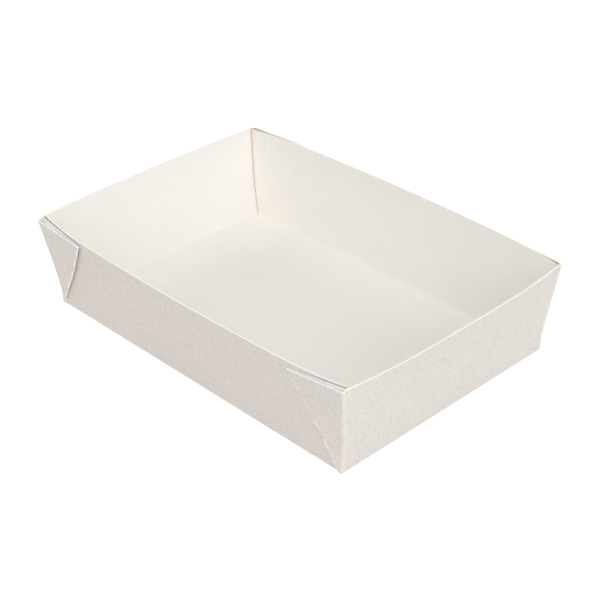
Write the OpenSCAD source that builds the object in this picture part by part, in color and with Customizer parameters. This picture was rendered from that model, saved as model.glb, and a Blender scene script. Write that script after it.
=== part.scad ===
// Open-top tray folded from a single sheet of solid paperboard.
// The base, the four flared walls and the four webbed corners are one uncut sheet. At each corner the web
// is folded back on itself along a perforated diagonal, and lies flat on the outside of the long wall.
// X runs along the tray, Y across it and Z up. The origin is the middle of the underside.

/* [Base] */
// Length of the base over its creases
base_length = 245; // [180:1:320]
// Width of the base over its creases
base_width = 164; // [120:1:220]

/* [Walls] */
// Height of the rim above the underside
wall_height = 60.5; // [45:0.5:90]
// Lean of an end wall, from its crease to its rim
end_flare = 7.5; // [2:0.5:14]
// Lean of a long wall, from its crease to its rim
side_flare = 5.6; // [2:0.2:14]
// Outward bow in the middle of the front long wall's rim
front_bow = 4.2; // [0.5:0.1:8]
// Outward bow in the middle of the back long wall's rim
back_bow = 4.6; // [0.5:0.1:8]
// Outward bow in the middle of the right end wall's rim
right_bow = 4.8; // [0.5:0.1:8]
// Outward bow in the middle of the left end wall's rim
left_bow = 3.4; // [0.5:0.1:8]

/* [Board] */
// Thickness of the paperboard
board = 0.6; // [0.4:0.05:0.9]
// Inner radius of the creases round the base
crease_inner_radius = 0.4; // [0.2:0.05:0.8]

/* [Corner gussets] */
// Length of a gusset along the rim, from the corner to its diagonal fold
gusset_length = 41.6; // [28:0.2:50]
// Length of a gusset's inner ply at its foot
gusset_foot = 3; // [0.3:0.1:7]
// Height at which the tip of a gusset starts
gusset_lift = 0.6; // [0.4:0.1:5]
// How far the ends of a long wall's rim are drawn inwards
corner_tuck = 2.6; // [0.5:0.1:4]
// Opening at the rim between the long wall and the ply folded back on it
hinge_gap = 1; // [0.3:0.1:1.6]
// Opening at the rim between the two plies of a gusset, at the corner
ply_gap = 2; // [0.3:0.1:4]
// Space that the glue takes between the long wall and its gusset
glue_gap = 0.15; // [0.1:0.01:0.3]
// Space left inside a pressed diagonal fold
fold_gap = 0.15; // [0.1:0.01:0.3]
// Space between an end wall and the long wall's folded edge
seam_gap = 0.15; // [0.1:0.05:0.5]
// Radius at the middle of the board where a gusset turns into its end wall
corner_radius = 0.9; // [0.6:0.1:2]
// Drop below the rim at the front right gusset: at its corner
front_right_corner_drop = 1.2; // [0:0.1:4]
// Drop below the rim at the front right gusset: at its diagonal fold
front_right_fold_drop = 4.1; // [0:0.1:6]
// Drop below the rim at the front left gusset: at its corner
front_left_corner_drop = 2.4; // [0:0.1:4]
// Drop below the rim at the front left gusset: at its diagonal fold
front_left_fold_drop = 2.8; // [0:0.1:6]
// Length of the front left gusset's inner ply at its foot
front_left_foot = 0.4; // [0.3:0.1:7]
// Height at which the tip of the front left gusset starts
front_left_lift = 4.2; // [0.4:0.1:6]
// Drop below the rim at both back gussets: at the corner
back_corner_drop = 1.2; // [0:0.1:4]
// Drop below the rim at both back gussets: at the diagonal fold
back_fold_drop = 0.8; // [0:0.1:6]

/* [Perforation] */
// Length of one slit along a diagonal fold
slit_length = 6.2; // [3:0.1:8]
// Distance from one slit to the next along the fold
slit_pitch = 12.3; // [10:0.1:20]
// Distance from the gusset's tip to its first slit
slit_start = 1; // [0.5:0.1:5]

/* [Hidden] */

// Segments of a fold in plan. The turn into the end wall has one less, because the points on both sides
// of a gusset's diagonal pair up where its tip closes.
fold_steps = 4;
wrap_steps = fold_steps - 1;
// How finely the gussets and the walls are divided
gusset_steps = 4;
side_steps = 14;
end_steps = 12;
// How sharply the rim turns inwards beside a gusset, and how full the bow of an end wall is
tuck_power = 1.3;
end_bow_power = 3;
// How far a slit cuts in past the middle of the fold
slit_depth = 0.15;

// Each corner has the bows of its long wall and its end wall, the gusset's two drops, and its foot and lift
front_right_gusset = [front_right_corner_drop, front_right_fold_drop, gusset_foot, gusset_lift];
front_left_gusset = [front_left_corner_drop, front_left_fold_drop, front_left_foot, front_left_lift];
back_gusset = [back_corner_drop, back_fold_drop, gusset_foot, gusset_lift];
front_right = concat(front_bow, right_bow, front_right_gusset);
front_left = concat(front_bow, left_bow, front_left_gusset);
back_right = concat(back_bow, right_bow, back_gusset);
back_left = concat(back_bow, left_bow, back_gusset);

// The crease round the base is drawn as two chamfers, which meet at its knee
crease_radius = board + crease_inner_radius;
knee = crease_radius * (1 - cos(45));
levels = [0, knee, board, crease_radius, wall_height / 3, wall_height * 2 / 3, wall_height];

fold_radius = (board + fold_gap) / 2;
// From an end wall to where the inner ply starts, at the foot of the walls
hinge_reach = board + seam_gap + (board + glue_gap) / 2;
diagonal_run = gusset_length - gusset_foot - hinge_reach - end_flare;
diagonal_cosine = wall_height / norm([diagonal_run, wall_height]);

function lerp(a, b, t) = a + (b - a) * t;
function limit(t) = max(0, min(1, t));

// How far the wall's foot is drawn in at height z by the rounding of its crease
function crease_inset(z) =
    z >= crease_radius ? 0
    : z >= knee ? knee * (crease_radius - z) / (crease_radius - knee)
    : lerp(crease_radius, knee, z / knee);

// Plain half sizes of the walls' middle surface, at the share w of the wall's height
function half_length(w, inset) = base_length / 2 - board / 2 + end_flare * w - inset;
function half_width(w, inset) = base_width / 2 - board / 2 + side_flare * w - inset;
function gusset_reach(w) = lerp(hinge_reach + gusset_foot, gusset_length, w);
function beside_x(w, inset) = half_length(w, inset) - gusset_reach(w);
function hinge_opening(w) = lerp(glue_gap, hinge_gap, w);
function ply_opening(w) = lerp(fold_gap, ply_gap, w);

// A long wall's middle surface: straight at the crease, bowed at the rim, drawn in beside its gussets
function side_y(x, w, inset, bow) =
    let (reach = half_length(w, inset), beside = limit(1 - (reach - x) / gusset_reach(w)))
    half_width(w, inset) + bow * w * (1 - pow(x / reach, 2)) - corner_tuck * w * pow(beside, tuck_power);

// Where a long wall ends, and where the outer ply turns into the end wall
function side_end_y(w, inset) = half_width(w, inset) - corner_tuck * w;
function corner_y(w, inset) = side_end_y(w, inset) + 2 * board + hinge_opening(w) + ply_opening(w);

// An end wall's middle surface
function end_x(y, w, inset, bow) =
    half_length(w, inset) + bow * w * (1 - pow(abs(y) / corner_y(w, inset), end_bow_power));

// Where a corner's diagonal fold runs at height z
function fold_x(corner, z, inset) =
    half_length(z / wall_height, inset)
    - lerp(hinge_reach + corner[4], gusset_length, (z - corner[5]) / (wall_height - corner[5]));

// Middle of the round edge in which a long wall folds back on itself, at the end wall's inner face
function hinge_radius(w) = (board + hinge_opening(w)) / 2;
function hinge_x(w, inset, end_bow) =
    end_x(side_end_y(w, inset), w, inset, end_bow) - board - seam_gap - hinge_radius(w);

// One corner in plan at one level, from the long wall's diagonal to the end wall, with the corner at +X +Y
function corner_path(corner, level) =
    let (
        side_bow = corner[0],
        end_bow = corner[1],
        corner_top = wall_height - corner[2],
        fold_top = wall_height - corner[3],
        lift = corner[5],
        inset = crease_inset(level),
        w = level / wall_height,
        hinge_top = lerp(lift, wall_height, w),
        hinge = [hinge_x(w, inset, end_bow), side_end_y(w, inset) + hinge_radius(w)],
        fold_z = lerp(lift, fold_top, w),
        fold_w = fold_z / wall_height,
        fold_at = fold_x(corner, fold_z, inset),
        fold_base = side_y(fold_at, fold_w, inset, side_bow),
        fold_y = fold_base + board + glue_gap + fold_radius,
        corner_z = lerp(lift, corner_top, w),
        corner_w = corner_z / wall_height,
        turn_y = corner_y(corner_w, inset) - corner_radius,
        turn_x = end_x(turn_y, corner_w, inset, end_bow) - corner_radius,
        shoulder_y = side_end_y(w, inset) - board
    )
    concat(
        // the long wall beside its gusset
        [for (i = [1:gusset_steps - 1])
            let (x = lerp(beside_x(w, inset), hinge[0], i / gusset_steps))
            [x, side_y(x, w, inset, side_bow), level]],
        // the edge that folds it back on itself
        [for (i = [0:fold_steps])
            let (a = lerp(-90, 90, i / fold_steps), r = hinge_radius(w))
            [hinge[0] + r * cos(a), hinge[1] + r * sin(a), lerp(level, hinge_top, i / fold_steps)]],
        // the inner ply, back to the diagonal
        [for (i = [1:gusset_steps - 1])
            let (
                t = 1 - i / gusset_steps,
                z = lerp(lift, lerp(fold_top, wall_height, t), w),
                v = z / wall_height,
                x = lerp(fold_x(corner, z, inset), hinge_x(v, inset, end_bow), t)
            )
            [x, side_y(x, v, inset, side_bow) + board + lerp(glue_gap, hinge_opening(v), t * t), z]],
        // the diagonal fold
        [for (i = [0:fold_steps])
            let (a = lerp(-90, 90, i / fold_steps))
            [fold_at - fold_radius * cos(a), fold_y + fold_radius * sin(a), fold_z]],
        // the outer ply, out to the corner
        [for (i = [1:gusset_steps - 1])
            let (t = i / gusset_steps, y = lerp(fold_y + fold_radius, turn_y + corner_radius, t))
            [lerp(fold_at, turn_x, t), y, lerp(fold_z, corner_z, t)]],
        // the turn into the end wall
        [for (i = [0:wrap_steps])
            let (a = 90 - 90 * i / wrap_steps)
            [turn_x + corner_radius * cos(a), turn_y + corner_radius * sin(a),
                lerp(corner_z, lerp(0, corner_top, w), i / wrap_steps)]],
        [[end_x(shoulder_y, w, inset, end_bow), shoulder_y, level]]
    );

// The same corner placed in one of the four quadrants
function placed(points, sx, sy) = [for (p = points) [sx * p[0], sy * p[1], p[2]]];
function reversed(points) = [for (i = [len(points) - 1:-1:0]) points[i]];

// A long wall between its diagonals, and an end wall between its corners, each from -1 to +1
function side_path(bow, level) =
    let (w = level / wall_height, inset = crease_inset(level), reach = beside_x(w, inset))
    [for (i = [0:side_steps])
        let (x = lerp(-reach, reach, i / side_steps))
        [x, side_y(abs(x), w, inset, bow), level]];
function end_path(bow, level) =
    let (w = level / wall_height, inset = crease_inset(level), reach = side_end_y(w, inset) - board)
    [for (i = [1:end_steps - 1])
        let (y = lerp(-reach, reach, i / end_steps))
        [end_x(y, w, inset, bow), y, level]];

// The sheet's middle line all the way round at one level, anticlockwise from above
function ring_path(level) = concat(
    placed(side_path(front_bow, level), 1, -1),
    placed(corner_path(front_right, level), 1, -1),
    end_path(right_bow, level),
    placed(reversed(corner_path(back_right, level)), 1, 1),
    placed(side_path(back_bow, level), -1, 1),
    placed(corner_path(back_left, level), -1, 1),
    placed(end_path(left_bow, level), -1, -1),
    placed(reversed(corner_path(front_left, level)), -1, -1)
);

// Numbers of points along the ring: a side, a corner, a corner's part beside the long wall, and an end
side_count = side_steps + 1;
beside_count = gusset_steps - 1;
corner_count = beside_count + 2 * (fold_steps + 1) + 2 * (gusset_steps - 1) + wrap_steps + 2;
end_count = end_steps - 1;
half_ring = side_count + 2 * corner_count + end_count;
// Where each corner's folded part starts and ends on the ring
tips = [for (half = [0:1])
    let (start = half * half_ring + side_count, next = start + corner_count + end_count)
    each [[start + beside_count, start + corner_count - 1], [next, next + corner_count - 1 - beside_count]]];

// The floor from its middle to the walls, which passes straight over the tips of the gussets
function panel_faces(hub) =
    let (
        last = 2 * half_ring - 1,
        edge = [for (i = [0:last]) if (len([for (t = tips) if (i > t[0] && i < t[1]) i]) == 0) i],
        n = len(edge)
    )
    [for (i = [0:n - 1]) [edge[(i + 1) % n], edge[i], hub]];

// The closed tips of the gussets: each joins the points on both sides of its diagonal fold in pairs
function tip_faces() = [for (t = tips)
    let (middle = (t[0] + t[1]) / 2)
    each concat(
        [[middle + 1, middle, middle - 1]],
        [for (i = [1:middle - t[0] - 1])
            each [
                [middle + i + 1, middle + i, middle - i],
                [middle + i + 1, middle - i, middle - i - 1]
            ]]
    )];

// A closed line moved sideways in plan by a distance, to its right where that is positive
function unit(v) = v / norm(v);
function right_of(a, b) = let (d = unit([b[0] - a[0], b[1] - a[1]])) [d[1], -d[0]];
function shifted(path, distance) =
    let (n = len(path))
    [for (i = [0:n - 1])
        let (
            before = right_of(path[(i + n - 1) % n], path[i]),
            after = right_of(path[i], path[(i + 1) % n]),
            mitre = unit(before + after),
            step = distance / (mitre * after)
        )
        [path[i][0] + mitre[0] * step, path[i][1] + mitre[1] * step, path[i][2]]];

// The whole sheet as one closed body. Its outer face starts at the underside. Its inner face starts at the
// floor, and a tip face closes each gusset where the floor passes under it.
module sheet() {
    paths = [for (z = levels) ring_path(z)];
    count = len(paths[0]);
    stride = 2 * count;
    floor_level = search(board, levels)[0];
    hubs = stride * len(levels);
    points = concat(
        [for (path = paths) each concat(shifted(path, board / 2), shifted(path, -board / 2))],
        [[0, 0, 0], [0, 0, board]]
    );
    top = (len(levels) - 1) * stride;
    outer_faces = [for (k = [0:len(levels) - 2], i = [0:count - 1])
        let (a = k * stride + i, b = k * stride + (i + 1) % count)
        each [[a, b + stride, b], [a, a + stride, b + stride]]];
    inner_faces = [for (k = [floor_level:len(levels) - 2], i = [0:count - 1])
        let (a = k * stride + count + i, b = k * stride + count + (i + 1) % count)
        each [[a, b, b + stride], [a, b + stride, a + stride]]];
    foot = [for (i = [0:count - 1])
        let (j = (i + 1) % count)
        each [[i, j, count + j], [i, count + j, count + i]]];
    rim = [for (i = [0:count - 1])
        let (j = (i + 1) % count)
        each [[top + i, top + count + j, top + j], [top + i, top + count + i, top + count + j]]];
    panel = concat(panel_faces(hubs), tip_faces());
    underside = [for (face = panel) [for (i = reversed(face)) i == hubs ? hubs : count + i]];
    floor = [for (face = panel) [for (i = face) i == hubs ? hubs + 1 : floor_level * stride + count + i]];
    polyhedron(
        points = points,
        faces = concat(outer_faces, inner_faces, foot, rim, underside, floor),
        convexity = 12
    );
}

// One slit of the perforation, between two heights on a corner's diagonal fold
function slit_outline(corner, z) =
    let (
        w = z / wall_height,
        x = fold_x(corner, z, 0),
        y = side_y(x, w, 0, corner[0]) + board / 2 + glue_gap / 2,
        outer_x = x - fold_radius - board,
        inner_x = x + slit_depth,
        outer_y = y + 3 * board + fold_gap
    )
    [[outer_x, y, z], [inner_x, y, z], [inner_x, outer_y, z], [outer_x, outer_y, z]];

module slit(corner, low, high) {
    points = concat(slit_outline(corner, low), slit_outline(corner, high));
    sides = [for (i = [0:3]) let (j = (i + 1) % 4) [i, i + 4, j + 4, j]];
    polyhedron(points = points, faces = concat(sides, [[0, 1, 2, 3], [7, 6, 5, 4]]), convexity = 2);
}

module perforation(corner) {
    first = corner[5] + slit_start;
    last = wall_height - corner[3] - slit_length * diagonal_cosine;
    for (z = [first:slit_pitch * diagonal_cosine:last]) {
        slit(corner, z, z + slit_length * diagonal_cosine);
    }
}

module tray() {
    color([0.86, 0.84, 0.81])
    difference() {
        sheet();
        mirror([0, 1, 0]) perforation(front_right);
        rotate([0, 0, 180]) perforation(front_left);
        perforation(back_right);
        mirror([1, 0, 0]) perforation(back_left);
    }
}

tray();
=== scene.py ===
"""A paperboard tray with glued web corners, folded from one sheet, dressed over its CAD frame.

The sheet is built here again much as in the CAD source, with finer steps, open slits along the perforated
diagonals and a material for each face of the board. The gussets' feet, slits, gaps and drops follow the photograph,
and differ a little from the solid's. Sizes are in millimetres until the mesh is made.
"""
from collections import namedtuple
import math

import bpy
import numpy as np
from mathutils import Matrix, Vector


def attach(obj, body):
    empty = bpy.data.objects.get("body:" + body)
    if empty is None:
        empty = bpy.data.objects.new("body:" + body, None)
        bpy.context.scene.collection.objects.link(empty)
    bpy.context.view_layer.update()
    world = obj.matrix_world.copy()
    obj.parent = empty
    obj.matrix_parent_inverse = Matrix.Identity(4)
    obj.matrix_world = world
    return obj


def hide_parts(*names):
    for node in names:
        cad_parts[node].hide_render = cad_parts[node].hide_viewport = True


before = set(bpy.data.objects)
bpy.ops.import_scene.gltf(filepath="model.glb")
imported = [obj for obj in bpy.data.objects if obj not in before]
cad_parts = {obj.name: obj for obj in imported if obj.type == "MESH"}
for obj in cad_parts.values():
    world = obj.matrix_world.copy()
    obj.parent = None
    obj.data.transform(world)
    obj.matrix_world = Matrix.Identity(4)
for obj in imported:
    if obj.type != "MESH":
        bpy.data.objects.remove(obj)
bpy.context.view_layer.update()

MM = 0.001

# Sizes of the tray
BASE_LENGTH, BASE_WIDTH, WALL_HEIGHT = 245.0, 164.0, 60.5
END_FLARE, SIDE_FLARE = 7.5, 5.6
BOARD, CREASE_INNER_RADIUS = 0.6, 0.4
GUSSET_LENGTH, GUSSET_FOOT = 41.6, 0.6
CORNER_TUCK, HINGE_GAP = 2.6, 1.0
GLUE_GAP, FOLD_GAP, SEAM_GAP = 0.15, 0.15, 0.15
CORNER_TURN, CORNER_FOOT_TURN = 0.5, 2.2
SLIT_LENGTH, SLIT_PITCH, SLIT_START = 6.4, 12.1, 2.5
FRONT_BOW, BACK_BOW, RIGHT_BOW, LEFT_BOW = 4.2, 4.6, 4.8, 3.4

# Powers that shape the tuck of a long wall's ends along it and up it, an end wall's bow and the turn of a corner
TUCK_POWER, TUCK_RISE, END_BOW_POWER, TURN_POWER = 1.3, 4, 3.0, 2.4

# How finely the sheet is divided
SIDE_STEPS, END_STEPS, GUSSET_STEPS, FOLD_STEPS = 44, 28, 10, 8
WRAP_STEPS = FOLD_STEPS - 1
LEVEL_STEP, LEAST_LEVEL_STEP = 0.8, 0.25
PANEL_RINGS = (0.97, 0.88, 0.7, 0.45, 0.2)
SHARP_ANGLE = 38

CREASE_RADIUS = BOARD + CREASE_INNER_RADIUS
FOLD_RADIUS = (BOARD + FOLD_GAP) / 2
HINGE_REACH = BOARD + SEAM_GAP + (BOARD + GLUE_GAP) / 2
DIAGONAL_COSINE = WALL_HEIGHT / math.hypot(GUSSET_LENGTH - GUSSET_FOOT - HINGE_REACH - END_FLARE, WALL_HEIGHT)

# Widths of the narrow strips beside a diagonal fold: of the inner ply, which the slits draw back, and of the outer
# ply, which their lips tear. Neither takes more than a share of a step.
INNER_STRIP, OUTER_STRIP, STRIP_SHARE = 1.3, 0.3, 0.6
# A gusset's plies, which spring open at the rim, meet below it at this share of the gap between them
RIM_SPRING, SPRING_POWER = 1.5, 1.5
# A corner's turn takes up to this share of the gusset beside it
TURN_SHARE = 0.45

# The torn lip of a slit: its even and its uneven part and how far it bends outwards, as shares of the corner's tear,
# and how far across its strip the inner ply is drawn back
LIP_EVEN, LIP_UNEVEN, LIP_LIFT, DRAWN_BACK = 0.8, 0.35, 0.25, 0.75

# The white band of bare core along the rims, and how far the cut presses its outer edge in
RIM_BAND, RIM_BEVEL = 0.42, 0.12

# One corner: the bows of its long wall and its end wall, the gusset's drops below the rim at the corner and at the
# fold, the length of its inner ply at the foot, the height at which its tip starts, its length along the rim, the
# bow of its diagonal and the gap between its plies at the rim. Then what folding and gluing did to it: how far the
# fold stands off the wall, how far the torn lip of a slit sticks out, the gap at the hinge, the power by which that
# gap closes towards the fold, and how far from the hinge the gaps beside it are painted brown as shade.
Corner = namedtuple("Corner", "side_bow end_bow corner_drop fold_drop foot lift length fold_bow ply_gap "
                              "stand_off tear hinge_gap taper glue_reach")
FRONT_RIGHT = Corner(FRONT_BOW, RIGHT_BOW, 1.2, 4.1, 0.2, 0.6, 41.5, -1.1, 2.0, 0.0, 0.18, 1.0, 2, 10)
FRONT_LEFT = Corner(FRONT_BOW, LEFT_BOW, 0.8, 2.8, 0.6, 4.2, 43.2, 1.6, 3.3, 0.65, 1.3, 1.0, 2, 25)
BACK_RIGHT = Corner(BACK_BOW, RIGHT_BOW, 1.2, 0.8, 0.6, 0.6, 41.6, 0, 2.0, 0.1, 0.4, 1.4, 1.0, 40)
BACK_LEFT = Corner(BACK_BOW, LEFT_BOW, 0.5, 0.5, 0.6, 0.6, 41.6, 0, 2.0, 0.8, 0.4, 2.0, 0.45, 80)

# A small dent in the rim of the right end wall
DENT_Y, DENT_LENGTH, DENT_DEPTH = 50.0, 8.0, 0.35

OUTSIDE, INSIDE, CUT_EDGE = 0, 1, 2


def lerp(a, b, t):
    return a + (b - a) * t


def half_length(w, inset):
    return BASE_LENGTH / 2 - BOARD / 2 + END_FLARE * w - inset


def half_width(w, inset):
    return BASE_WIDTH / 2 - BOARD / 2 + SIDE_FLARE * w - inset


def gusset_reach(w):
    return lerp(HINGE_REACH + GUSSET_FOOT, GUSSET_LENGTH, w)


def beside_x(w, inset):
    return half_length(w, inset) - gusset_reach(w)


def fold_x(corner, z, inset):
    """Where a corner's diagonal fold runs at height z."""
    share = (z - corner.lift) / (WALL_HEIGHT - corner.lift)
    reach = lerp(HINGE_REACH + corner.foot, corner.length, share) + corner.fold_bow * 4 * share * (1 - share)
    return half_length(z / WALL_HEIGHT, inset) - reach


def hinge_opening(corner, w):
    return lerp(GLUE_GAP, corner.hinge_gap, w)


def tuck(w):
    """How far the ends of a long wall are drawn inwards: most of it in the lower half."""
    return CORNER_TUCK * (1 - (1 - w) ** TUCK_RISE)


def side_y(x, w, inset, bow):
    """A long wall's middle surface: straight at the crease, bowed at the rim, drawn in beside its gussets."""
    reach = half_length(w, inset)
    beside = np.clip(1 - (reach - x) / gusset_reach(w), 0, 1)
    return half_width(w, inset) + bow * w * (1 - (x / reach) ** 2) - tuck(w) * beside ** TUCK_POWER


def side_end_y(w, inset):
    return half_width(w, inset) - tuck(w)


def corner_y(corner, w, inset):
    return side_end_y(w, inset) + 2 * BOARD + lerp(GLUE_GAP + FOLD_GAP, HINGE_GAP + corner.ply_gap, w)


def turn_shape():
    """The outer ply's turn into the end wall, which tightens towards its end, with a drop of 1 along that wall."""
    headings = [math.pi / 2 * ((i + 0.5) / WRAP_STEPS) ** TURN_POWER for i in range(WRAP_STEPS)]
    line = np.cumsum([(0, 0)] + [(math.cos(h), -math.sin(h)) for h in headings], axis=0)
    return line / -line[-1, 1]


TURN = turn_shape()
TURN_RUN = TURN[-1, 0]


def turn_drop(corner, w, inset):
    """How far from the corner the turn ends on the end wall: further near the foot, if the gusset has room."""
    z = max(w * WALL_HEIGHT, corner.lift)
    room = half_length(z / WALL_HEIGHT, inset) - fold_x(corner, z, inset)
    return min(lerp(CORNER_FOOT_TURN, CORNER_TURN, w), TURN_SHARE * room / TURN_RUN)


def end_x(corner, y, w, inset):
    return half_length(w, inset) + corner.end_bow * w * (1 - (abs(y) / corner_y(corner, w, inset)) ** END_BOW_POWER)


def hinge_radius(corner, w):
    return (BOARD + hinge_opening(corner, w)) / 2


def hinge_x(corner, w, inset):
    """Middle of the hinge edge, beside the end wall, which already bends away there near its foot."""
    drop, r = turn_drop(corner, w, inset), hinge_radius(corner, w)
    into_turn = (side_end_y(w, inset) + r - corner_y(corner, w, inset)) / drop
    given_way = drop * (TURN_RUN - np.interp(into_turn, TURN[::-1, 1], TURN[::-1, 0]))
    return end_x(corner, side_end_y(w, inset), w, inset) - BOARD - SEAM_GAP - r - given_way


def corner_path(corner, level, inset):
    """One corner in plan at one level, from the long wall's diagonal to the end wall, with the corner at +X +Y."""
    lift, corner_top, fold_top = corner.lift, WALL_HEIGHT - corner.corner_drop, WALL_HEIGHT - corner.fold_drop
    w = level / WALL_HEIGHT
    # The hinge edge, where the long wall folds back on itself
    hinge_top = lerp(lift, WALL_HEIGHT, w)
    r = hinge_radius(corner, w)
    hx, hy = hinge_x(corner, w, inset), side_end_y(w, inset) + r
    # The diagonal fold
    fold_z = lerp(lift, fold_top, w)
    fold_w = fold_z / WALL_HEIGHT
    fold_at = fold_x(corner, fold_z, inset)
    stand_off = corner.stand_off * min(1, 4 * w)
    fold_y = side_y(fold_at, fold_w, inset, corner.side_bow) + BOARD + GLUE_GAP + FOLD_RADIUS + stand_off
    # The outer ply's turn into the end wall
    corner_z = lerp(lift, corner_top, w)
    corner_w = corner_z / WALL_HEIGHT
    drop = turn_drop(corner, corner_w, inset)
    top_y = corner_y(corner, corner_w, inset)
    turn_y = top_y - drop
    turn_x = end_x(corner, turn_y, corner_w, inset) - drop * TURN_RUN
    shoulder_y = min(side_end_y(w, inset) - BOARD, turn_y - BOARD / 2)
    outer_ply = (fold_y + FOLD_RADIUS, top_y)
    # How far the inner ply springs towards the outer one
    closed = min(1, (WALL_HEIGHT - level) / (RIM_SPRING * corner.ply_gap)) ** SPRING_POWER
    hinge_room = closed * max(0, turn_y - hy - r - BOARD - FOLD_GAP)

    inner_length = hinge_x(corner, fold_w, inset) - fold_at
    inner_strip = min(INNER_STRIP / inner_length, STRIP_SHARE / GUSSET_STEPS)
    outer_strip = min((OUTER_STRIP + corner.tear / 5) / (turn_x - fold_at), STRIP_SHARE / GUSSET_STEPS)
    points = []
    # The long wall beside the gusset
    for i in range(1, GUSSET_STEPS):
        x = lerp(beside_x(w, inset), hx, i / GUSSET_STEPS)
        points.append((x, side_y(x, w, inset, corner.side_bow), level))
    # The hinge
    for i in range(FOLD_STEPS + 1):
        a = math.radians(lerp(-90, 90, i / FOLD_STEPS))
        points.append((hx + r * math.cos(a), hy + r * math.sin(a) + hinge_room * (i / FOLD_STEPS) ** 2,
                       lerp(level, hinge_top, i / FOLD_STEPS)))
    # The inner ply
    for t in [1 - i / GUSSET_STEPS for i in range(1, GUSSET_STEPS)] + [inner_strip]:
        z = lerp(lift, lerp(fold_top, WALL_HEIGHT, t), w)
        v = z / WALL_HEIGHT
        x = lerp(fold_x(corner, z, inset), hinge_x(corner, v, inset), t)
        opening = lerp(GLUE_GAP, hinge_opening(corner, v), t ** corner.taper) + stand_off * (1 - t) ** 3
        y = side_y(x, v, inset, corner.side_bow) + BOARD + opening
        room = lerp(*outer_ply, np.clip((x - fold_at) / (turn_x - fold_at), 0, 1)) - y - BOARD - FOLD_GAP
        points.append((x, y + closed * max(0, room), z))
    # The diagonal fold, the outer ply, its turn and the end wall's first point
    for i in range(FOLD_STEPS + 1):
        a = math.radians(lerp(-90, 90, i / FOLD_STEPS))
        points.append((fold_at - FOLD_RADIUS * math.cos(a), fold_y + FOLD_RADIUS * math.sin(a), fold_z))
    for t in [outer_strip] + [i / GUSSET_STEPS for i in range(1, GUSSET_STEPS)]:
        points.append((lerp(fold_at, turn_x, t), lerp(*outer_ply, t), lerp(fold_z, corner_z, t)))
    for i in range(WRAP_STEPS + 1):
        points.append((turn_x + drop * TURN[i, 0], top_y + drop * TURN[i, 1],
                       lerp(corner_z, lerp(0, corner_top, w), i / WRAP_STEPS)))
    points.append((end_x(corner, shoulder_y, w, inset), shoulder_y, level))
    return points


def side_path(bow, level, inset):
    w = level / WALL_HEIGHT
    reach = beside_x(w, inset)
    return [(x, side_y(abs(x), w, inset, bow), level) for x in np.linspace(-reach, reach, SIDE_STEPS + 1)]


def end_path(front, rear, level, inset):
    """An end wall between its front corner, at -Y, and its rear one."""
    w = level / WALL_HEIGHT
    reach = side_end_y(w, inset) - BOARD
    return [(end_x(front if y < 0 else rear, y, w, inset), y, level)
            for y in np.linspace(-reach, reach, END_STEPS + 1)[1:-1]]


def placed(points, sx, sy):
    return [(sx * x, sy * y, z) for x, y, z in points]


def ring_path(level, inset):
    """The sheet's middle line all the way round at one level, anticlockwise from above."""
    return np.array(
        placed(side_path(FRONT_BOW, level, inset), 1, -1)
        + placed(corner_path(FRONT_RIGHT, level, inset), 1, -1)
        + end_path(FRONT_RIGHT, BACK_RIGHT, level, inset)
        + placed(corner_path(BACK_RIGHT, level, inset)[::-1], 1, 1)
        + placed(side_path(BACK_BOW, level, inset), -1, 1)
        + placed(corner_path(BACK_LEFT, level, inset), -1, 1)
        + placed(end_path(BACK_LEFT, FRONT_LEFT, level, inset), -1, -1)
        + placed(corner_path(FRONT_LEFT, level, inset)[::-1], -1, -1)
    )


def shifted(path, distance):
    """A closed line moved sideways in plan by a distance, to its right where that is positive."""
    plan = path[:, :2]
    along = np.roll(plan, -1, axis=0) - plan
    along /= np.linalg.norm(along, axis=1)[:, None]
    after = np.stack([along[:, 1], -along[:, 0]], 1)
    before = np.roll(after, 1, axis=0)
    mitre = before + after
    mitre /= np.linalg.norm(mitre, axis=1)[:, None]
    step = distance / (mitre * after).sum(1)
    out = path.copy()
    out[:, :2] += mitre * step[:, None]
    return out


# Where things are on the ring, counted from its first point
SIDE_COUNT = SIDE_STEPS + 1
HINGE_START = GUSSET_STEPS - 1
INNER_START = HINGE_START + FOLD_STEPS + 1
FOLD_START = INNER_START + GUSSET_STEPS
OUTER_START = FOLD_START + FOLD_STEPS + 1
WRAP_START = OUTER_START + GUSSET_STEPS
CORNER_COUNT = WRAP_START + WRAP_STEPS + 2
END_COUNT = END_STEPS - 1
HALF_RING = SIDE_COUNT + 2 * CORNER_COUNT + END_COUNT


def corner_columns():
    """Each corner's columns of the ring, in the order of its path, with its sizes."""
    first = SIDE_COUNT
    second = first + CORNER_COUNT + END_COUNT
    out = []
    for start, backwards, corner in ((first, False, FRONT_RIGHT), (second, True, BACK_RIGHT),
                                     (HALF_RING + first, False, BACK_LEFT), (HALF_RING + second, True, FRONT_LEFT)):
        columns = list(range(start, start + CORNER_COUNT))
        out.append((columns[::-1] if backwards else columns, corner))
    return out


def slit_heights(corner):
    """Levels of the ring between which each slit of a corner's perforation is open."""
    lift, fold_top = corner.lift, WALL_HEIGHT - corner.fold_drop
    rise = SLIT_LENGTH * DIAGONAL_COSINE
    z = lift + SLIT_START
    out = []
    while z <= fold_top - rise:
        out.append([(end - lift) / (fold_top - lift) * WALL_HEIGHT for end in (z, z + rise)])
        z += SLIT_PITCH * DIAGONAL_COSINE
    return out


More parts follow.
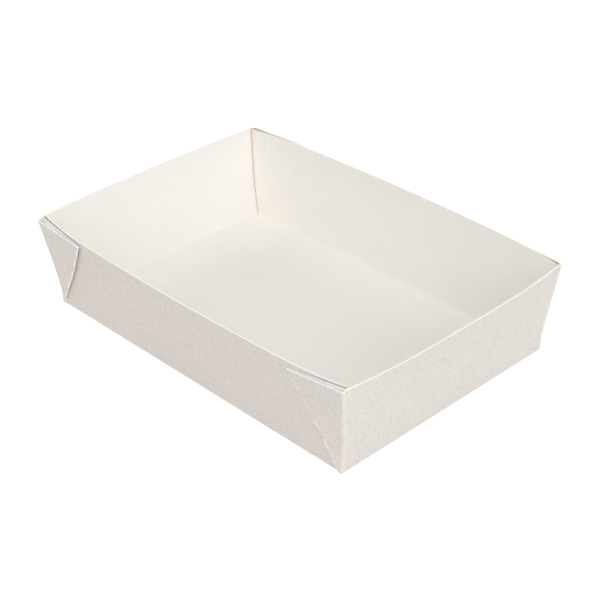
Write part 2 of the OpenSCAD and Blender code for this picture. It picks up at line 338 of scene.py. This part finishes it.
def ring_levels():
    """Levels of the rings: the crease, the ends of all slits, and steps in between."""
    crease = [CREASE_RADIUS * (1 - math.cos(math.radians(a))) for a in (0, 22, 45)]
    crease += [BOARD, 0.8, CREASE_RADIUS]
    ends = sorted(z for _, corner in corner_columns() for pair in slit_heights(corner) for z in pair)
    kept = []
    for z in ends:
        if not kept or z - kept[-1] > LEAST_LEVEL_STEP:
            kept.append(z)
    fixed = sorted(set(crease + kept + [WALL_HEIGHT - RIM_BAND, WALL_HEIGHT]))
    out = [fixed[0]]
    for z in fixed[1:]:
        n = max(1, math.ceil((z - out[-1]) / LEVEL_STEP))
        out += list(np.linspace(out[-1], z, n + 1)[1:])
    return np.array(out)


def outer_inset(z):
    return CREASE_RADIUS - math.sqrt(CREASE_RADIUS ** 2 - max(0, CREASE_RADIUS - z) ** 2)


def inner_inset(z):
    rise = min(CREASE_INNER_RADIUS, max(0, CREASE_RADIUS - z))
    return CREASE_INNER_RADIUS - math.sqrt(CREASE_INNER_RADIUS ** 2 - rise ** 2)


def wobble(x):
    """An uneven line between -1 and 1, the same in every run."""
    return (math.sin(2.9 * x) + math.sin(5.3 * x + 1.7) + 0.6 * math.sin(11.7 * x + 0.4)) / 2.6


def tear_slits(columns, corner, number, levels, outer, inner):
    """Lets the outer ply's lip stick out along each slit, unevenly, and draws the inner ply's edge back under it."""
    lip, lip_root = columns[OUTER_START - 1], columns[OUTER_START]
    under, under_root = columns[FOLD_START], columns[FOLD_START - 1]
    for bottom, top in slit_heights(corner):
        for k, level in enumerate(levels):
            share = (level - bottom) / (top - bottom)
            if not 0.001 < share < 0.999:
                continue
            swell = math.sin(math.pi * share)
            reach = corner.tear * (swell ** 0.6 * LIP_EVEN + LIP_UNEVEN * swell * wobble(level * 0.9 + 7 * number))
            for side in (outer[k], inner[k]):
                along = side[lip, :2] - side[lip_root, :2]
                along /= np.linalg.norm(along)
                outwards = np.array([-along[1], along[0]])
                outwards *= np.sign(side[lip, 1]) * np.sign(outwards[1])
                side[lip, :2] += along * reach + outwards * LIP_LIFT * corner.tear * swell
                side[under] += (side[under_root] - side[under]) * DRAWN_BACK * min(1, 2.5 * swell)


def dent_rim(rings):
    """Presses a small dent into the right end wall's rim."""
    for depth, ring in ((1, rings[-1]), (0.3, rings[-2])):
        x, y = ring[:, 0], ring[:, 1]
        inside = (x > BASE_LENGTH / 2) & (abs(y - DENT_Y) < DENT_LENGTH / 2)
        ring[inside, 2] -= DENT_DEPTH * depth * np.cos(math.pi * (y[inside] - DENT_Y) / DENT_LENGTH)


class Sheet:
    """A folded sheet: a ring of points at each level for its outer side and one for its inner side."""

    def __init__(self, levels, outer, inner):
        self.inner = inner
        self.rows, self.count = len(levels), len(outer[0])
        self.points = [p for pair in zip(outer, inner) for p in pair]
        self.faces, self.slots = [], []

    def out(self, k, i):
        return 2 * k * self.count + i % self.count

    def inn(self, k, i):
        return (2 * k + 1) * self.count + i % self.count

    def add(self, face, slot):
        self.faces.append(face)
        self.slots.append(slot)

    def add_walls(self, open_band, torn_band, floor_row):
        """Both sides of the walls except where a slit is open, and the cut edges at their foot and rim."""
        out, inn, top = self.out, self.inn, self.rows - 1
        for k in range(top):
            for i in range(self.count):
                if open_band[k, i]:
                    continue
                bare = torn_band[k, i] or k == top - 1
                self.add((out(k, i), out(k, i + 1), out(k + 1, i + 1), out(k + 1, i)), CUT_EDGE if bare else OUTSIDE)
                if k >= floor_row:
                    self.add((inn(k, i), inn(k + 1, i), inn(k + 1, i + 1), inn(k, i + 1)), INSIDE)
        for i in range(self.count):
            self.add((inn(0, i), inn(0, i + 1), out(0, i + 1), out(0, i)), CUT_EDGE)
            self.add((out(top, i), out(top, i + 1), inn(top, i + 1), inn(top, i)), CUT_EDGE)

    def add_slit_edges(self, open_band, folds):
        """The cut edges round the slits."""
        out, inn = self.out, self.inn
        for low, high in folds:
            for k in range(self.rows - 1):
                if open_band[k, low]:
                    self.add((out(k, low), inn(k, low), inn(k + 1, low), out(k + 1, low)), CUT_EDGE)
                    self.add((inn(k, high), out(k, high), out(k + 1, high), inn(k + 1, high)), CUT_EDGE)
            for k in range(1, self.rows - 1):
                below, above = open_band[k - 1, low], open_band[k, low]
                for i in range(low, high):
                    if above and not below:
                        self.add((out(k, i), out(k, i + 1), inn(k, i + 1), inn(k, i)), CUT_EDGE)
                    if below and not above:
                        self.add((inn(k, i), inn(k, i + 1), out(k, i + 1), out(k, i)), CUT_EDGE)

    def add_panel(self, row, slot, flip, tips):
        """One side of the base: the closed tips of the gussets, and the panel that passes straight over them."""
        for a, b in tips:
            middle = (a + b) // 2
            tip_faces = [(middle + 1, middle, middle - 1)]
            tip_faces += [(middle + i + 1, middle + i, middle - i, middle - i - 1) for i in range(1, middle - a)]
            for face in tip_faces:
                ids = tuple(self.inn(row, i) for i in face)
                self.add(ids[::-1] if flip else ids, slot)
        edge = [i for i in range(self.count) if not any(a < i < b for a, b in tips)]
        last = [self.inn(row, i) for i in edge]
        base = sum(len(p) for p in self.points)
        for scale in PANEL_RINGS:
            self.points.append(self.inner[row][edge] * (scale, scale, 1))
            new = list(range(base, base + len(edge)))
            base += len(edge)
            for j in range(len(edge)):
                n = (j + 1) % len(edge)
                face = (last[n], last[j], new[j], new[n])
                self.add(face if flip else face[::-1], slot)
            last = new
        self.add(tuple(last[::-1]) if flip else tuple(last), slot)


def build_sheet():
    """The whole folded sheet as one closed mesh, in metres, with a material for each face of the board."""
    levels = ring_levels()
    outer = [shifted(ring_path(z, outer_inset(z)), BOARD / 2 - (RIM_BEVEL if z == levels[-1] else 0)) for z in levels]
    inner = [shifted(ring_path(z, inner_inset(z) if z >= BOARD else outer_inset(z)), -BOARD / 2) for z in levels]
    corners = corner_columns()
    for number, (columns, corner) in enumerate(corners):
        tear_slits(columns, corner, number, levels, outer, inner)
    dent_rim(outer)
    dent_rim(inner)
    sheet = Sheet(levels, outer, inner)

    # Which bands of which corners are open, and where the lip beside them is torn
    open_band = np.zeros((sheet.rows - 1, sheet.count), bool)
    torn_band = np.zeros((sheet.rows - 1, sheet.count), bool)
    folds = []
    for columns, corner in corners:
        low, high = sorted((columns[FOLD_START], columns[OUTER_START - 1]))
        folds.append((low, high))
        for bottom, top in slit_heights(corner):
            k0, k1 = (int(np.argmin(abs(levels - z))) for z in (bottom, top))
            open_band[k0:k1, low:high] = True
            torn_band[k0:k1, min(columns[OUTER_START - 1], columns[OUTER_START])] = True

    floor_row = int(np.argmin(abs(levels - BOARD)))
    sheet.add_walls(open_band, torn_band, floor_row)
    sheet.add_slit_edges(open_band, folds)
    tips = [sorted((columns[HINGE_START], columns[-1])) for columns, _ in corners]
    sheet.add_panel(0, OUTSIDE, True, tips)
    sheet.add_panel(floor_row, INSIDE, False, tips)

    mesh = bpy.data.meshes.new("tray_sheet")
    mesh.from_pydata(np.concatenate(sheet.points) * MM, [], sheet.faces)
    mesh.polygons.foreach_set("material_index", sheet.slots)
    mesh.polygons.foreach_set("use_smooth", [True] * len(sheet.faces))
    mesh.set_sharp_from_angle(angle=math.radians(SHARP_ANGLE))
    mark_handling(mesh, corners, levels, sheet.count)
    mesh.update()
    return mesh


def mark_handling(mesh, corners, levels, count):
    """Writes where the board is cracked by folding, with a painted highlight, where it is strained beside a gusset,
    where a lighter white is painted inside a fold as painted light, and where brown shade is painted at the hinge.
    """
    marks = {name: np.zeros(len(mesh.vertices)) for name in ("crack_and_highlight", "strain", "painted_fold_light", "glue")}

    def mark(name, side, column, value):
        """Side 0 is the outer face of the board and 1 its inner face. A value for the whole column or one a row."""
        first = side * count + column
        marks[name][first:2 * len(levels) * count:2 * count] = value

    for columns, corner in corners:
        # No brown shade is painted at the gusset's tip, and cracks with a painted highlight show in the last third of
        # its turn into the end wall
        shade_fade = np.clip((levels - corner.lift) / 8, 0, 1)
        for i in range(WRAP_STEPS + 1):
            mark("crack_and_highlight", 0, columns[WRAP_START + i], max(0, 3 * i / WRAP_STEPS - 2))
        # Cracks with a painted highlight along the diagonal fold
        for i in range(FOLD_STEPS + 1):
            mark("crack_and_highlight", 0, columns[FOLD_START + i], 0.8)
        for i in range(HINGE_START):
            mark("strain", 1, columns[i], (i + 1) / HINGE_START)
        for i in range(HINGE_START, INNER_START):
            mark("strain", 1, columns[i], 1)
        # Painted light: a lighter white on the inner faces inside the folds and between the plies
        for i in range(INNER_START, WRAP_START + WRAP_STEPS):
            mark("painted_fold_light", 1, columns[i], min(1, (i - INNER_START + 1) / 2))
        # Brown painted shade over the hinge on both faces, and on the outer face along the plies beside it
        for i in range(FOLD_STEPS + 1):
            mark("glue", 0, columns[HINGE_START + i], 0.95 * shade_fade)
            mark("glue", 1, columns[HINGE_START + i], max(0, 1 - abs(6 * i / FOLD_STEPS - 2) / 2))
        for i in range(1, GUSSET_STEPS):
            fade = max(0, 1 - i / GUSSET_STEPS * corner.length / corner.glue_reach) * 0.8
            mark("glue", 0, columns[HINGE_START - i], fade * shade_fade)
            mark("glue", 0, columns[INNER_START + i - 1], fade * shade_fade)
    for name, values in marks.items():
        mesh.attributes.new(name, "FLOAT", "POINT").data.foreach_set("value", values)


class Nodes:
    """Short calls for building one material's node tree."""

    def __init__(self, name):
        self.material = bpy.data.materials.new(name)
        self.material.use_nodes = True
        self.tree = self.material.node_tree
        self.shader = self.tree.nodes["Principled BSDF"]
        self.where = self.tree.nodes.new("ShaderNodeTexCoord").outputs["Object"]

    def add(self, kind, **settings):
        node = self.tree.nodes.new(kind)
        for key, value in settings.items():
            setattr(node, key, value)
        return node

    def set(self, socket, value):
        if isinstance(value, bpy.types.NodeSocket):
            self.tree.links.new(value, socket)
        else:
            socket.default_value = value

    def math(self, operation, a, b):
        node = self.add("ShaderNodeMath", operation=operation)
        self.set(node.inputs[0], a)
        self.set(node.inputs[1], b)
        return node.outputs[0]

    def attribute(self, name):
        return self.add("ShaderNodeAttribute", attribute_name=name).outputs["Fac"]

    def stretched(self, scale, turn=(0, 0, 0)):
        """Object coordinates turned and stretched, for marks that run one way."""
        node = self.add("ShaderNodeMapping", vector_type="TEXTURE")
        self.set(node.inputs["Vector"], self.where)
        node.inputs["Rotation"].default_value = [math.radians(a) for a in turn]
        node.inputs["Scale"].default_value = scale
        return node.outputs["Vector"]

    def noise(self, scale, detail=2.0, roughness=0.5, vector=None):
        """Noise about zero."""
        node = self.add("ShaderNodeTexNoise")
        self.set(node.inputs["Vector"], vector or self.where)
        node.inputs["Scale"].default_value = scale
        node.inputs["Detail"].default_value = detail
        node.inputs["Roughness"].default_value = roughness
        return self.math("SUBTRACT", node.outputs["Fac"], 0.5)

    def ramp(self, value, low, high, to_low=0.0, to_high=1.0):
        node = self.add("ShaderNodeMapRange", interpolation_type="SMOOTHSTEP")
        for key, v in zip(("Value", "From Min", "From Max", "To Min", "To Max"), (value, low, high, to_low, to_high)):
            self.set(node.inputs[key], v)
        return node.outputs[0]

    def sum(self, start, *terms):
        """The start plus each value times its weight."""
        total = start
        for value, weight in terms:
            total = self.math("ADD", total, self.math("MULTIPLY", value, weight))
        return total

    def mix(self, factor, a, b):
        node = self.add("ShaderNodeMix", data_type="RGBA")
        self.set(node.inputs["Factor"], factor)
        self.set(node.inputs[6], a)
        self.set(node.inputs[7], b)
        return node.outputs[2]

    def shade(self, color, amount):
        node = self.add("ShaderNodeVectorMath", operation="SCALE")
        self.set(node.inputs[0], color)
        self.set(node.inputs["Scale"], amount)
        return node.outputs[0]

    def finish(self, color, roughness, height, distance):
        self.set(self.shader.inputs["Base Color"], color)
        self.set(self.shader.inputs["Roughness"], roughness)
        bump = self.add("ShaderNodeBump")
        bump.inputs["Strength"].default_value = 0.5
        bump.inputs["Distance"].default_value = distance
        self.set(bump.inputs["Height"], height)
        self.set(self.shader.inputs["Normal"], bump.outputs["Normal"])
        return self.material


OUTSIDE_WHITE = (0.748, 0.700, 0.664)
INSIDE_WHITE = (0.866, 0.843, 0.803, 1)
# A lighter white painted inside the folds, as painted light in the gap between the plies
PAINTED_FOLD_LIGHT = (0.92, 0.92, 0.92, 1)
CORE_WHITE = (0.975, 0.965, 0.95)
# Brown and amber painted shade for the gaps and seams at the hinges
SHADE_BROWN = (0.68, 0.47, 0.32, 1)
SHADE_AMBER = (0.78, 0.47, 0.24, 1)

# A darker spot on the back wall's inner face, and the radii between which it fades
SPOT_AT, SPOT_RADII = (-0.0885, 0.0868, 0.0407), (0.0012, 0.0023)


def outside_board():
    """Uncoated grey-white board: a fine grain, soft blotches, faint slanting fibres, pale cracks with a painted
    highlight along folds, and brown and amber painted shade in the gaps beside the gussets."""
    n = Nodes("board_outside")
    grain = n.noise(1150, 2)
    mottle = n.noise(420, 2)
    blotch = n.noise(60, 2)
    fibre = n.noise(1, 2, vector=n.stretched((0.0007, 0.0007, 0.004), (45, -35, 0)))
    # The folds are lighter where cracked, partly as a painted highlight
    amount = n.sum(1.0, (grain, 0.46), (mottle, 0.16), (blotch, 0.04), (fibre, 0.2), (n.attribute("crack_and_highlight"), 0.05))
    color = n.shade(OUTSIDE_WHITE, amount)
    glue = n.attribute("glue")
    # Brown painted shade in the gaps beside the hinge, and amber painted shade deepest in it
    gap_shade_mask = n.ramp(n.sum(glue, (n.noise(300, 3), 0.4)), 0.1, 0.7, 0, 0.8)
    color = n.mix(gap_shade_mask, color, SHADE_BROWN)
    color = n.mix(n.ramp(glue, 0.8, 0.95), color, SHADE_AMBER)
    roughness = n.sum(0.84, (grain, 0.3), (glue, -0.3))
    return n.finish(color, roughness, n.sum(0.5, (grain, 0.8), (fibre, 0.5), (mottle, 0.4)), 0.00006)


def inside_board():
    """Smooth coated cream-white board: faint upright streaks, stronger beside the gussets, sparse specks, a lighter
    white painted inside the folds as painted light, and amber painted shade in the seam at the hinge."""
    n = Nodes("board_inside")
    fine = n.noise(1000, 2)
    cloud = n.noise(45, 2)
    streak = n.noise(1, 2, vector=n.stretched((0.0011, 0.0011, 0.03)))
    strain = n.ramp(n.noise(1, 2, vector=n.stretched((0.0012, 0.0012, 0.04))), 0.05, 0.16)
    speck = n.ramp(n.noise(560, 0), 0.30, 0.36)
    from_spot = n.add("ShaderNodeVectorMath", operation="DISTANCE")
    n.set(from_spot.inputs[0], n.where)
    from_spot.inputs[1].default_value = SPOT_AT
    spot = n.ramp(from_spot.outputs["Value"], *SPOT_RADII, 1, 0)
    amount = n.sum(1.0, (fine, 0.06), (cloud, 0.02), (streak, 0.05), (speck, -0.04), (spot, -0.05),
                   (n.math("MULTIPLY", strain, n.attribute("strain")), 0.05))
    # Painted light: a lighter white on the faces inside the folds
    white = n.mix(n.attribute("painted_fold_light"), INSIDE_WHITE, PAINTED_FOLD_LIGHT)
    # Amber painted shade in the seam at the hinge
    white = n.mix(n.ramp(n.attribute("glue"), 0.1, 0.8, 0, 0.8), white, SHADE_AMBER)
    roughness = n.sum(0.55, (fine, 0.25), (cloud, 0.1))
    return n.finish(n.shade(white, amount), roughness, n.sum(0.5, (streak, 0.5), (fine, 0.4)), 0.00002)


def cut_edge():
    """The board's white core where it is cut or torn: open fibres across the edge."""
    n = Nodes("board_cut_edge")
    fibre = n.noise(1500, 3, 0.6)
    layer = n.noise(500, 2)
    color = n.shade(CORE_WHITE, n.sum(1.0, (fibre, 0.10), (layer, 0.05)))
    # Amber painted shade on the cut edges beside the hinge's gap
    color = n.mix(n.ramp(n.attribute("glue"), 0.6, 0.95, 0, 0.9), color, SHADE_AMBER)
    return n.finish(color, n.sum(0.9, (fibre, 0.2)), fibre, 0.00008)


tray = bpy.data.objects.new("tray_sheet", build_sheet())
bpy.context.scene.collection.objects.link(tray)
for material in (outside_board(), inside_board(), cut_edge()):
    tray.data.materials.append(material)
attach(tray, "root")
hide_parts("tray")


def seen_rays(tree):
    """1 for rays from the camera and for reflections, 0 for the light that reaches the tray."""
    path = tree.nodes.new("ShaderNodeLightPath")
    total = path.outputs["Is Camera Ray"]
    for name in ("Is Glossy Ray", "Is Transmission Ray"):
        node = tree.nodes.new("ShaderNodeMath")
        node.operation = "MAXIMUM"
        tree.links.new(total, node.inputs[0])
        tree.links.new(path.outputs[name], node.inputs[1])
        total = node.outputs[0]
    return total


def white_floor():
    """A matt pale floor that looks white where it is lit and keeps a faint shadow."""
    material = bpy.data.materials.new("floor_white")
    material.use_nodes = True
    tree = material.node_tree
    tree.nodes.clear()
    matt = tree.nodes.new("ShaderNodeBsdfDiffuse")
    matt.inputs["Color"].default_value = (0.9, 0.9, 0.9, 1)
    shown = tree.nodes.new("ShaderNodeBsdfDiffuse")
    shown.inputs["Color"].default_value = (0.3, 0.3, 0.3, 1)
    glow = tree.nodes.new("ShaderNodeEmission")
    glow.inputs["Color"].default_value = (1, 1, 1, 1)
    glow.inputs["Strength"].default_value = 0.78
    both = tree.nodes.new("ShaderNodeAddShader")
    mix = tree.nodes.new("ShaderNodeMixShader")
    out = tree.nodes.new("ShaderNodeOutputMaterial")
    tree.links.new(shown.outputs[0], both.inputs[0])
    tree.links.new(glow.outputs[0], both.inputs[1])
    tree.links.new(seen_rays(tree), mix.inputs["Fac"])
    tree.links.new(matt.outputs[0], mix.inputs[1])
    tree.links.new(both.outputs[0], mix.inputs[2])
    tree.links.new(mix.outputs[0], out.inputs["Surface"])
    return material


# Half the floor's side and its distance below the tray, in metres
FLOOR_REACH, FLOOR_DROP = 4.0, 0.00005
floor_mesh = bpy.data.meshes.new("floor")
floor_mesh.from_pydata([(x * FLOOR_REACH, y * FLOOR_REACH, 0) for x, y in ((-1, -1), (1, -1), (1, 1), (-1, 1))],
                       [], [(0, 1, 2, 3)])
floor = bpy.data.objects.new("floor", floor_mesh)
bpy.context.scene.collection.objects.link(floor)
floor.location.z = -FLOOR_DROP
floor_mesh.materials.append(white_floor())

# A soft studio: an even dome, and five broad lamps round the tray, each with its azimuth from the front, its
# elevation, its strength and its colour
DOME = 0.35
LAMPS = {
    "front_top": (0, 60, 0.237, (1.02, 1.0, 0.985)),
    "camera_side": (45, 25, 0.223, (1.02, 1.0, 0.985)),
    "right": (90, 25, 0.298, (0.97, 1.0, 1.02)),
    "back": (180, 25, 0.203, (1, 1, 1)),
    "left": (270, 25, 0.254, (1, 1, 1)),
}
LAMP_ANGLE = 40

world = bpy.data.worlds.new("studio")
bpy.context.scene.world = world
world.use_nodes = True
tree = world.node_tree
dome = tree.nodes["Background"]
dome.inputs["Color"].default_value = (1, 1, 1, 1)
dome.inputs["Strength"].default_value = DOME
white = tree.nodes.new("ShaderNodeBackground")
white.inputs["Color"].default_value = (1, 1, 1, 1)
choice = tree.nodes.new("ShaderNodeMixShader")
tree.links.new(seen_rays(tree), choice.inputs["Fac"])
tree.links.new(dome.outputs[0], choice.inputs[1])
tree.links.new(white.outputs[0], choice.inputs[2])
tree.links.new(choice.outputs[0], tree.nodes["World Output"].inputs["Surface"])


def direction(azimuth, elevation):
    """Unit vector from the tray towards an azimuth, from the front, and an elevation, in degrees."""
    a, e = math.radians(azimuth), math.radians(elevation)
    return Vector((math.sin(a) * math.cos(e), -math.cos(a) * math.cos(e), math.sin(e)))


for name, (azimuth, elevation, strength, color) in LAMPS.items():
    data = bpy.data.lights.new(name, "SUN")
    data.angle = math.radians(LAMP_ANGLE)
    data.energy = math.pi * strength
    data.color = color
    lamp = bpy.data.objects.new(name, data)
    lamp.rotation_euler = direction(azimuth, elevation).to_track_quat("Z", "Y").to_euler()
    bpy.context.scene.collection.objects.link(lamp)

# Camera, solved from the tray's own corners and rims in the photograph: where it looks from, its roll, the point
# that it aims at and its distance from there in millimetres, and its focal length in pixels of the photograph
CAMERA_AZIMUTH, CAMERA_ELEVATION, CAMERA_ROLL = 46.996, 31.872, -1.514
CAMERA_AIM, CAMERA_DISTANCE = (0.129, 4.731, 16.4), 917.523
FOCAL_PIXELS, PHOTO_PIXELS, SENSOR_WIDTH = 1515.976, 600, 36


def add_camera():
    back = direction(CAMERA_AZIMUTH, CAMERA_ELEVATION)
    level = math.radians(CAMERA_AZIMUTH)
    right = Vector((math.cos(level), math.sin(level), 0))
    up = back.cross(right)
    roll = math.radians(CAMERA_ROLL)
    turned_right = right * math.cos(roll) + up * math.sin(roll)
    turned_up = up * math.cos(roll) - right * math.sin(roll)
    data = bpy.data.cameras.new("camera")
    data.sensor_fit = "HORIZONTAL"
    data.sensor_width = SENSOR_WIDTH
    data.lens = SENSOR_WIDTH * FOCAL_PIXELS / PHOTO_PIXELS
    data.clip_start = 0.01
    data.clip_end = 50
    camera = bpy.data.objects.new("camera", data)
    eye = Vector(CAMERA_AIM) * MM + back * CAMERA_DISTANCE * MM
    camera.matrix_world = Matrix((
        (turned_right.x, turned_up.x, back.x, eye.x),
        (turned_right.y, turned_up.y, back.y, eye.y),
        (turned_right.z, turned_up.z, back.z, eye.z),
        (0, 0, 0, 1),
    ))
    bpy.context.scene.collection.objects.link(camera)
    bpy.context.scene.camera = camera


add_camera()
bpy.context.scene.view_settings.view_transform = "Standard"
